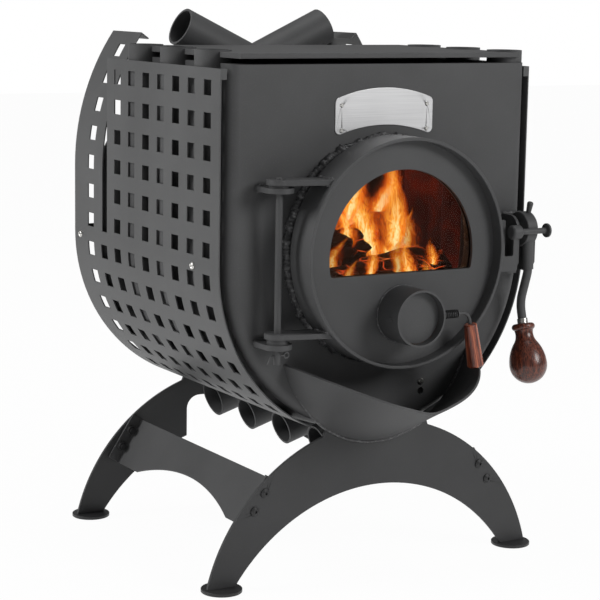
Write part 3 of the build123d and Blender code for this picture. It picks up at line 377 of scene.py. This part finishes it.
def white_ground(name):
    """Studio floor: white to the camera, and it still takes a faint shadow."""
    ground = Finish(name)
    rays = [ground.node("ShaderNodeLightPath", out=i) for i in (0, 3, 6)]
    seen = (rays[0] + rays[1] + rays[2]).clamped()
    plain = ground.node("ShaderNodeBsdfDiffuse", None, {"Color": (0.86, 0.86, 0.86, 1)})
    bright = ground.node("ShaderNodeEmission", None, {"Color": (1, 1, 1, 1), "Strength": 1.0})
    both = ground.node("ShaderNodeMixShader", None, {0: seen * 0.97, 1: plain, 2: bright})
    ground.tree.links.new(both.socket, ground.output.inputs["Surface"])
    return ground.material


# Studio

def add_studio():
    floor = mesh_piece("studio_floor", [(-9, -9, 0), (9, -9, 0), (9, 9, 0), (-9, 9, 0)], [(0, 1, 2, 3)], None)
    floor.data.materials.append(white_ground("studio floor"))
    floor.location.z = -0.0004
    world = bpy.data.worlds.new("studio air")
    bpy.context.scene.world = world
    world.use_nodes = True
    tree = world.node_tree
    tree.nodes.clear()
    path = tree.nodes.new("ShaderNodeLightPath")
    soft = tree.nodes.new("ShaderNodeBackground")
    soft.inputs["Color"].default_value = (1, 1, 1, 1)
    soft.inputs["Strength"].default_value = 0.22
    white = tree.nodes.new("ShaderNodeBackground")
    white.inputs["Color"].default_value = (1, 1, 1, 1)
    white.inputs["Strength"].default_value = 1.0
    mixed = tree.nodes.new("ShaderNodeMixShader")
    end = tree.nodes.new("ShaderNodeOutputWorld")
    tree.links.new(path.outputs["Is Camera Ray"], mixed.inputs[0])
    tree.links.new(soft.outputs[0], mixed.inputs[1])
    tree.links.new(white.outputs[0], mixed.inputs[2])
    tree.links.new(mixed.outputs[0], end.inputs["Surface"])
    add_lamp("front lamp", (1.5, -2.7, 1.8), 1.3, 46)
    add_lamp("side lamp", (-2.8, 0.9, 1.9), 1.2, 54)
    add_lamp("top lamp", (0.3, 0.2, 2.9), 1.6, 16)


def add_lamp(name, place, size, power):
    data = bpy.data.lights.new(name, "AREA")
    data.shape = "DISK"
    data.size = size
    data.energy = power
    lamp = bpy.data.objects.new(name, data)
    lamp.location = place
    aim = Vector((0, 0, 0.32)) - Vector(place)
    lamp.rotation_euler = aim.to_track_quat("-Z", "Y").to_euler()
    bpy.context.collection.objects.link(lamp)


# Pieces

def mesh_piece(name, points, faces, material, smooth=True):
    mesh = bpy.data.meshes.new(name)
    mesh.from_pydata([tuple(p) for p in points], [], faces)
    mesh.update()
    mesh.shade_smooth() if smooth else mesh.shade_flat()
    piece = bpy.data.objects.new(name, mesh)
    bpy.context.collection.objects.link(piece)
    if material:
        mesh.materials.append(material)
    return piece


def tube_faces(rings, sides, closed):
    """Faces of a tube of rings, capped unless it closes on itself."""
    faces = []
    for i in range(rings if closed else rings - 1):
        a, b = i * sides, (i + 1) % rings * sides
        faces += [(a + k, a + (k + 1) % sides, b + (k + 1) % sides, b + k) for k in range(sides)]
    if not closed:
        faces.append(tuple(reversed(range(sides))))
        faces.append(tuple(range((rings - 1) * sides, rings * sides)))
    return faces


def weld_bead(name, body, path, radius, length, closed=False, rough=1.0, sides=8, beside=(0, 1, 0)):
    """Lumpy bead along the joint path(t), where each drop of weld overlaps the one before it.

    beside is a direction that stays square to the joint.
    """
    drop = radius * 0.62
    rings = max(8, int(length / drop) * 3)
    points = []
    for i in range(rings):
        t = i / (rings if closed else rings - 1)
        here = Vector(path(t))
        ahead = Vector(path(t + 1e-3)) - Vector(path(t - 1e-3))
        side = Vector(beside)
        over = ahead.cross(side).normalized()
        saw = (i % 3) / 3
        wander = noise.noise_vector(here * 90) * radius * 0.22 * rough
        swell = 1 + 0.16 * rough * (saw - 0.33) + 0.3 * rough * noise.noise(here * 160)
        end = min(t, 1 - t) * rings / 3
        taper = 1 if closed else min(1, 0.35 + end * 0.5)
        for k in range(sides):
            a = 2 * pi * k / sides
            lump = 1 + 0.12 * rough * noise.noise(here * 400 + Vector((0, 0, a * 2)))
            r = radius * swell * lump * taper
            points.append(here + wander + side * cos(a) * r + over * sin(a) * r)
    piece = mesh_piece(name, points, tube_faces(rings, sides, closed), finishes["weld"])
    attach(piece, body)
    return piece


def straight(a, b):
    a, b = Vector(a), Vector(b)
    return lambda t: a.lerp(b, t)


def weld_along(name, body, a, b, radius, beside=(0, 1, 0)):
    length = (Vector(b) - Vector(a)).length
    return weld_bead(name, body, straight(a, b), radius, length, rough=0.8, beside=beside)


def neck_bead():
    """Thick weld where the door neck stands on the front plate."""
    radius = 0.0064
    middle = neck_foot + 0.0022

    def path(t):
        a = 2 * pi * t
        return (middle * cos(a), front_y - 0.0018, door_z + middle * sin(a))

    weld_bead("neck_weld", "stove", path, radius, 2 * pi * middle, closed=True, rough=1.5, sides=14)


def hinge_welds():
    """Small welds where the lugs meet the plate and the arms meet the door ring."""
    for level in ("upper", "lower"):
        low, high = (Vector(c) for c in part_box(f"hinge_lug_{level}"))
        for z, side in ((high.z, "top"), (low.z, "under")):
            a, b = (low.x + 0.002, front_y - 0.0008, z), (high.x - 0.002, front_y - 0.0008, z)
            weld_along(f"lug_{level}_{side}_weld", "stove", a, b, 0.0021)
        low, high = (Vector(c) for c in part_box(f"hinge_arm_{level}"))
        for z, side in ((high.z, "top"), (low.z, "under")):
            x = -sqrt(ring_radius ** 2 - (z - door_z) ** 2) - 0.0006
            a, b = (x, ring_low.y + 0.006, z), (x, ring_high.y - 0.006, z)
            weld_along(f"arm_{level}_{side}_weld", "door", a, b, 0.0022, beside=(1, 0, 0))


def latch_welds():
    low, high = (Vector(c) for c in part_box("latch_bracket"))
    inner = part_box("latch_catch")[1][0] + 0.004
    y = front_y - 0.0006
    weld_along("bracket_top_weld", "stove", (inner, y, high.z), (high.x, y, high.z), 0.0019)
    low_catch, high_catch = (Vector(c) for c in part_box("latch_catch"))

    def path(t):
        z = low_catch.z + (high_catch.z - low_catch.z) * t
        return (sqrt(ring_radius ** 2 - (z - door_z) ** 2) + 0.0004, low_catch.y + 0.0002, z)

    weld_bead("catch_weld", "door", path, 0.0017, high_catch.z - low_catch.z, rough=0.8)


def inlet_weld():
    """Fine seam round the air inlet's collar, on the door plate."""
    low, high = (Vector(c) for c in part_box("air_inlet_collar"))
    radius = (high.x - low.x) / 2 + 0.0002
    z = (low.z + high.z) / 2

    def path(t):
        a = 2 * pi * t
        return (radius * cos(a), high.y - 0.0004, z + radius * sin(a))

    weld_bead("inlet_weld", "door", path, 0.0011, 2 * pi * radius, closed=True, rough=0.7)


def lip_seam():
    """Seam along the ash lip's root, where it follows the belly in front of the leg."""
    low, high = (Vector(c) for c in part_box("ash_lip"))
    half = (high.x - low.x) / 2 - 0.003
    drop = high.z - low.z
    radius = (half ** 2 + (drop - 0.002) ** 2) / (2 * drop)
    middle = low.z + radius
    reach = asin(min(1, (half - 0.004) / radius))

    def path(t):
        a = reach * (2 * t - 1)
        return (radius * sin(a), front_y - 0.0012, middle - radius * cos(a))

    weld_bead("lip_weld", "stove", path, 0.0022, 2 * reach * radius, rough=0.35)


def screw_head(name, body, place, out, radius, height):
    """Pan head with a cross recess, as one closed dome."""
    out = Vector(out)
    side = out.orthogonal().normalized()
    over = out.cross(side)
    rings, around = 9, 48
    points = []
    for i in range(rings):
        r = radius * sin(pi / 2 * i / (rings - 1)) if i else 0.0
        dome = height * sqrt(max(0.0, 1 - (r / radius) ** 2.6))
        for k in range(around):
            a = 2 * pi * k / around
            x, y = r * cos(a), r * sin(a)
            arm = max(abs(x), abs(y))
            slot = min(abs(x), abs(y)) < radius * 0.13 and arm < radius * 0.62
            depth = height * 0.62 * (1 - arm / (radius * 0.7)) if slot else 0
            points.append(Vector(place) + side * x + over * y + out * (dome - depth))
    base = [Vector(place) + (side * cos(2 * pi * k / around) + over * sin(2 * pi * k / around)) * radius
            - out * 0.0004 for k in range(around)]
    points += base
    faces = []
    for i in range(rings):
        a, b = i * around, (i + 1) * around
        faces += [(a + k, a + (k + 1) % around, b + (k + 1) % around, b + k) for k in range(around)]
    faces.append(tuple(reversed(range(rings * around, (rings + 1) * around))))
    piece = mesh_piece(name, points, faces, finishes["zinc"])
    weld = piece.modifiers.new("merge the crown", "WELD")
    weld.merge_threshold = 1e-6
    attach(piece, body)
    return piece


def shield_screws():
    """Four pan heads on the shields, two on each side."""
    low, high = (Vector(c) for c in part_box("shield_screws"))
    z = (low.z + high.z) / 2
    radius = (high.z - low.z) / 2
    height = 0.003
    for x, out, side in ((low.x, -1, "left"), (high.x, 1, "right")):
        for y, end in ((low.y + radius, "front"), (high.y - radius, "rear")):
            place = (x - out * height, y, z)
            piece = screw_head(f"shield_screw_{side}_{end}", "stove", place, (out, 0, 0), radius, height)
            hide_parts("shield_screws")


def gasket_rope():
    """Braided rope in the door: four strands that wind round each other."""
    low, high = (Vector(c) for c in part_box("door_gasket"))
    radius = (high.x - low.x) / 2 - 0.0035
    y = (low.y + high.y) / 2
    strand, orbit, turns, steps, sides = 0.0016, 0.0014, 62, 992, 7
    points, faces = [], []
    for s in range(4):
        start = len(points)
        for i in range(steps):
            t = i / steps
            a = 2 * pi * t
            w = 2 * pi * (turns * t + s / 4)
            r = radius + orbit * 1.3 * cos(w)
            centre = Vector((r * cos(a), y + orbit * sin(w), door_z + r * sin(a)))
            outward = Vector((cos(a), 0, sin(a)))
            for k in range(sides):
                b = 2 * pi * k / sides
                points.append(centre + outward * strand * cos(b) + Vector((0, strand * sin(b), 0)))
        faces += [tuple(start + v for v in face) for face in tube_faces(steps, sides, True)]
    piece = mesh_piece("door_rope", points, faces, finishes["rope"])
    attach(piece, "door")
    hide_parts("door_gasket")


# Fire behind the window

fire_x, fire_y = 0.07, front_y + 0.105
fire_z = belly_z - 0.045


def split_log(name, start, end, radius, seed, rounded=0.55):
    """Split log: a wedge of a trunk, with bark on its round side and torn grain on the flats."""
    rng = Random(seed)
    start, end = Vector(start), Vector(end)
    along = (end - start).normalized()
    side = along.orthogonal().normalized()
    over = along.cross(side)
    roll = rng.uniform(0, 2 * pi)
    rings, sides = 26, 30
    points = []
    for i in range(rings):
        t = i / (rings - 1)
        centre = start.lerp(end, t) + over * 0.006 * sin(pi * t + seed)
        close = min(1, 0.5 + 6 * min(t, 1 - t))
        for k in range(sides):
            a = 2 * pi * k / sides
            split = (a - pi * 1.15) / (pi * 0.85) * pi
            wedge = 1.0 if a < pi * 1.15 else rounded + (1 - rounded) * abs(cos(split))
            spot = Vector((cos(a + roll) * 2.2, sin(a + roll) * 2.2, t * 3 + seed))
            torn = 1 + 0.16 * noise.noise(spot * 1.3) + 0.06 * noise.noise(spot * 4)
            r = radius * wedge * torn * close
            points.append(centre + side * cos(a + roll) * r + over * sin(a + roll) * r)
    piece = mesh_piece(name, points, tube_faces(rings, sides, False), finishes["log"])
    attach(piece, "stove")


def ember_bed():
    """Heap of embers under the logs, lying in the belly on the tubes."""
    rows, columns = 44, 56
    half_x, deep = 0.138, 0.21
    top = []
    for j in range(rows):
        for i in range(columns):
            u, v = 2 * i / (columns - 1) - 1, j / (rows - 1)
            spot = Vector((u * 9, v * 12, 3))
            rise = 0.05 * (1 - u * u) * sin(pi * v) ** 0.5
            lump = 0.007 * noise.noise(spot) + 0.004 * noise.noise(spot * 3.1)
            z = belly_z - 0.095 + rise + lump
            top.append((u * half_x, front_y + 0.018 + v * deep, z))
    under = [(x, y, belly_z - 0.105) for x, y, z in top]
    count = rows * columns
    faces = []
    for j in range(rows - 1):
        for i in range(columns - 1):
            a = j * columns + i
            quad = (a, a + 1, a + columns + 1, a + columns)
            faces.append(quad)
            faces.append(tuple(count + v for v in reversed(quad)))
    rim = [i for i in range(columns)] + [(j + 1) * columns - 1 for j in range(1, rows)]
    rim += [(rows - 1) * columns + i for i in range(columns - 2, -1, -1)]
    rim += [j * columns for j in range(rows - 2, 0, -1)]
    faces += [(rim[k], count + rim[k], count + rim[(k + 1) % len(rim)], rim[(k + 1) % len(rim)])
              for k in range(len(rim))]
    piece = mesh_piece("ember_bed", top + under, faces, finishes["embers"])
    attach(piece, "stove")


def flame_tongue(name, base, height, width, lean, seed, finish):
    """One tongue of flame: a cupped leaf that sways and narrows to a tip."""
    rng = Random(seed)
    sway, phase = rng.uniform(0.12, 0.26) * height, rng.uniform(0, 2 * pi)
    twist, cup = rng.uniform(-0.8, 0.8), rng.uniform(0.2, 0.5)
    rows, columns = 34, 11
    facing = radians(camera_turn) + rng.uniform(-0.35, 0.35)
    points, spots = [], []
    for j in range(rows):
        v = j / (rows - 1)
        bulge = sin(pi * min(1, v * 0.82 + 0.13)) ** 0.75 * (1 - v ** 3)
        half = width * (bulge * (1 + 0.22 * sin(9 * v + phase)) + 0.004)
        shift = lean * v + sway * sin(4.2 * v + phase) * v
        turn = facing + twist * v
        for i in range(columns):
            u = 2 * i / (columns - 1) - 1
            x = shift + half * u
            y = cup * half * u * u + 0.01 * sin(5 * v + phase)
            points.append((base[0] + x * cos(turn) + y * sin(turn), base[1] - x * sin(turn) + y * cos(turn),
                           base[2] + height * v))
            spots.append((i / (columns - 1), v))
    faces = []
    for j in range(rows - 1):
        for i in range(columns - 1):
            a = j * columns + i
            faces.append((a, a + 1, a + columns + 1, a + columns))
    piece = mesh_piece(name, points, faces, finish)
    layer = piece.data.uv_layers.new(name="flame")
    for loop in piece.data.loops:
        layer.data[loop.index].uv = spots[loop.vertex_index]
    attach(piece, "stove")


def make_fire():
    ember_bed()
    x, y, z = fire_x, fire_y, fire_z
    logs = [
        ((x - 0.115, y - 0.03, z - 0.004), (x + 0.085, y + 0.02, z + 0.006), 0.030),
        ((x - 0.07, y + 0.075, z - 0.002), (x + 0.11, y + 0.005, z + 0.004), 0.031),
        ((x - 0.10, y + 0.03, z + 0.006), (x + 0.01, y + 0.03, z + 0.062), 0.022),
        ((x + 0.03, y - 0.055, z - 0.012), (x + 0.105, y + 0.06, z + 0.005), 0.024),
        ((x - 0.10, y + 0.06, z + 0.0), (x + 0.02, y + 0.075, z + 0.075), 0.02),
    ]
    for number, (start, end, radius) in enumerate(logs, 1):
        split_log(f"burning_log_{number}", start, end, radius, 11 * number)
    tongues = [
        (0.022, 0.010, 0.018, 0.142, 0.034, 0.018), (0.004, 0.020, 0.020, 0.132, 0.028, -0.030),
        (0.036, 0.018, 0.010, 0.100, 0.022, -0.006), (-0.022, 0.034, 0.050, 0.090, 0.030, -0.006),
        (-0.052, 0.020, 0.030, 0.080, 0.018, 0.012), (-0.074, 0.000, 0.004, 0.060, 0.012, 0.014),
        (-0.096, -0.012, 0.000, 0.046, 0.010, 0.012), (0.062, -0.012, -0.004, 0.058, 0.013, 0.012),
        (0.000, -0.026, 0.000, 0.062, 0.014, 0.022), (0.048, 0.040, 0.026, 0.062, 0.014, 0.012),
        (-0.036, -0.024, 0.000, 0.052, 0.012, 0.016), (0.078, 0.010, -0.004, 0.036, 0.012, -0.008),
        (0.026, -0.030, -0.002, 0.060, 0.016, -0.010), (-0.084, 0.036, 0.030, 0.070, 0.014, -0.008),
        (-0.060, -0.030, -0.004, 0.040, 0.009, -0.008), (0.012, 0.030, 0.080, 0.080, 0.020, 0.030),
        (-0.034, 0.028, 0.070, 0.074, 0.016, 0.026), (0.040, -0.032, -0.006, 0.040, 0.010, 0.010),
    ]
    for number, (dx, dy, dz, height, width, lean) in enumerate(tongues, 1):
        finish = finishes["flame"] if number % 3 else finishes["deep flame"]
        flame_tongue(f"flame_{number}", (x + dx, y + dy, z + dz), height, width, lean, 7 * number + 2, finish)


# Finishes of the solids

def soften(name, width):
    """Break the sharp edges of a plate, as grinding and paint do."""
    node = nodes[name]
    merge = node.modifiers.new("join corners", "WELD")
    merge.merge_threshold = 1e-6
    bevel = node.modifiers.new("broken edges", "BEVEL")
    bevel.width = width
    bevel.segments = 2
    bevel.limit_method = "ANGLE"
    bevel.angle_limit = radians(35)
    bevel.harden_normals = False
    normals = node.modifiers.new("smooth faces", "WEIGHTED_NORMAL")
    normals.keep_sharp = True


def finish_nodes():
    by_slot = {
        "painted_steel": "paint", "shield_paint": "shield", "window_glass": "glass", "glass_rope": "rope",
        "grip_wood": "grip", "knob_wood": "knob", "plate_steel": "brushed", "bright_steel": "zinc",
    }
    special = {
        "rear_plate": "hearth", "firebox_roof": "hearth", "side_webs_left": "hearth",
        "side_webs_right": "hearth",
        "damper_spring": "spring", "hinge_split_pin": "paint", "glass_clamp": "paint", "lever_ferrule": "zinc",
        "hinge_pin": "paint", "leg_bolts": "bolt", "foot_discs": "bolt",
        "front_leg": "leg", "rear_leg": "leg",
    }
    slots = {row["node"]: row["material_slot"] for row in record["subparts"]}
    special.update({name: "hearth" for name in nodes if name.startswith("tube_")})
    for name, node in nodes.items():
        finish = special.get(name, by_slot.get(slots.get(name), "paint"))
        if not node.material_slots:
            node.data.materials.append(None)
        for place in node.material_slots:
            place.material = finishes[finish]
    for name in ("front_leg", "rear_leg", "cook_plate", "latch_bracket", "latch_catch", "door_neck",
                 "stretcher_left", "stretcher_right", "nameplate", "hinge_arm_upper", "hinge_arm_lower",
                 "hinge_lug_upper", "hinge_lug_lower"):
        soften(name, 0.0005)


add_camera()
finishes = {
    "paint": heat_paint("heat paint", (0.070, 0.0705, 0.072)),
    # hearth paint: soot-black inside, with a painted dark red glow of firelight on the walls that face the
    # fire
    "hearth": heat_paint("hearth paint with painted firelight", (0.070, 0.0705, 0.072), hearth=True),
    "shield": heat_paint("shield paint", (0.086, 0.087, 0.088), 0.06, 0.5),
    # leg: the same heat paint made darker, painted shade for the lower legs that get less light
    "leg": heat_paint("leg paint darkened as painted shade", (0.050, 0.0503, 0.0515)),
    "bolt": heat_paint("black bolt", (0.03, 0.03, 0.031), 0.05, 0.42),
    "spring": heat_paint("black spring", (0.02, 0.02, 0.021), 0.05, 0.45),
    "weld": weld_metal(),
    "brushed": brushed_steel(),
    "zinc": plated_steel("zinc plating", (0.72, 0.71, 0.68), 0.28),
    "grip": varnished_wood("grip wood", (0, radians(-11), 0), (0.05, 0.009, 0.004), (0.27, 0.055, 0.024),
                           (0.60, 0.17, 0.075), 230.0, 0.42),
    "knob": varnished_wood("knob wood", (radians(-15.6), 0, 0), (0.02, 0.004, 0.002), (0.10, 0.02, 0.009),
                           (0.24, 0.06, 0.026), 300.0, 0.14),
    "glass": window_glass(),
    "rope": braided_rope(),
    "log": burning_wood(),
    "embers": glowing_embers(),
    "flame": flame_colours("flame", 1.1),
    "deep flame": flame_colours("deep flame", 0.65),
}
add_studio()
finish_nodes()
neck_bead()
hinge_welds()
latch_welds()
inlet_weld()
lip_seam()
shield_screws()
gasket_rope()
make_fire()

bpy.context.scene.view_settings.view_transform = "Standard"
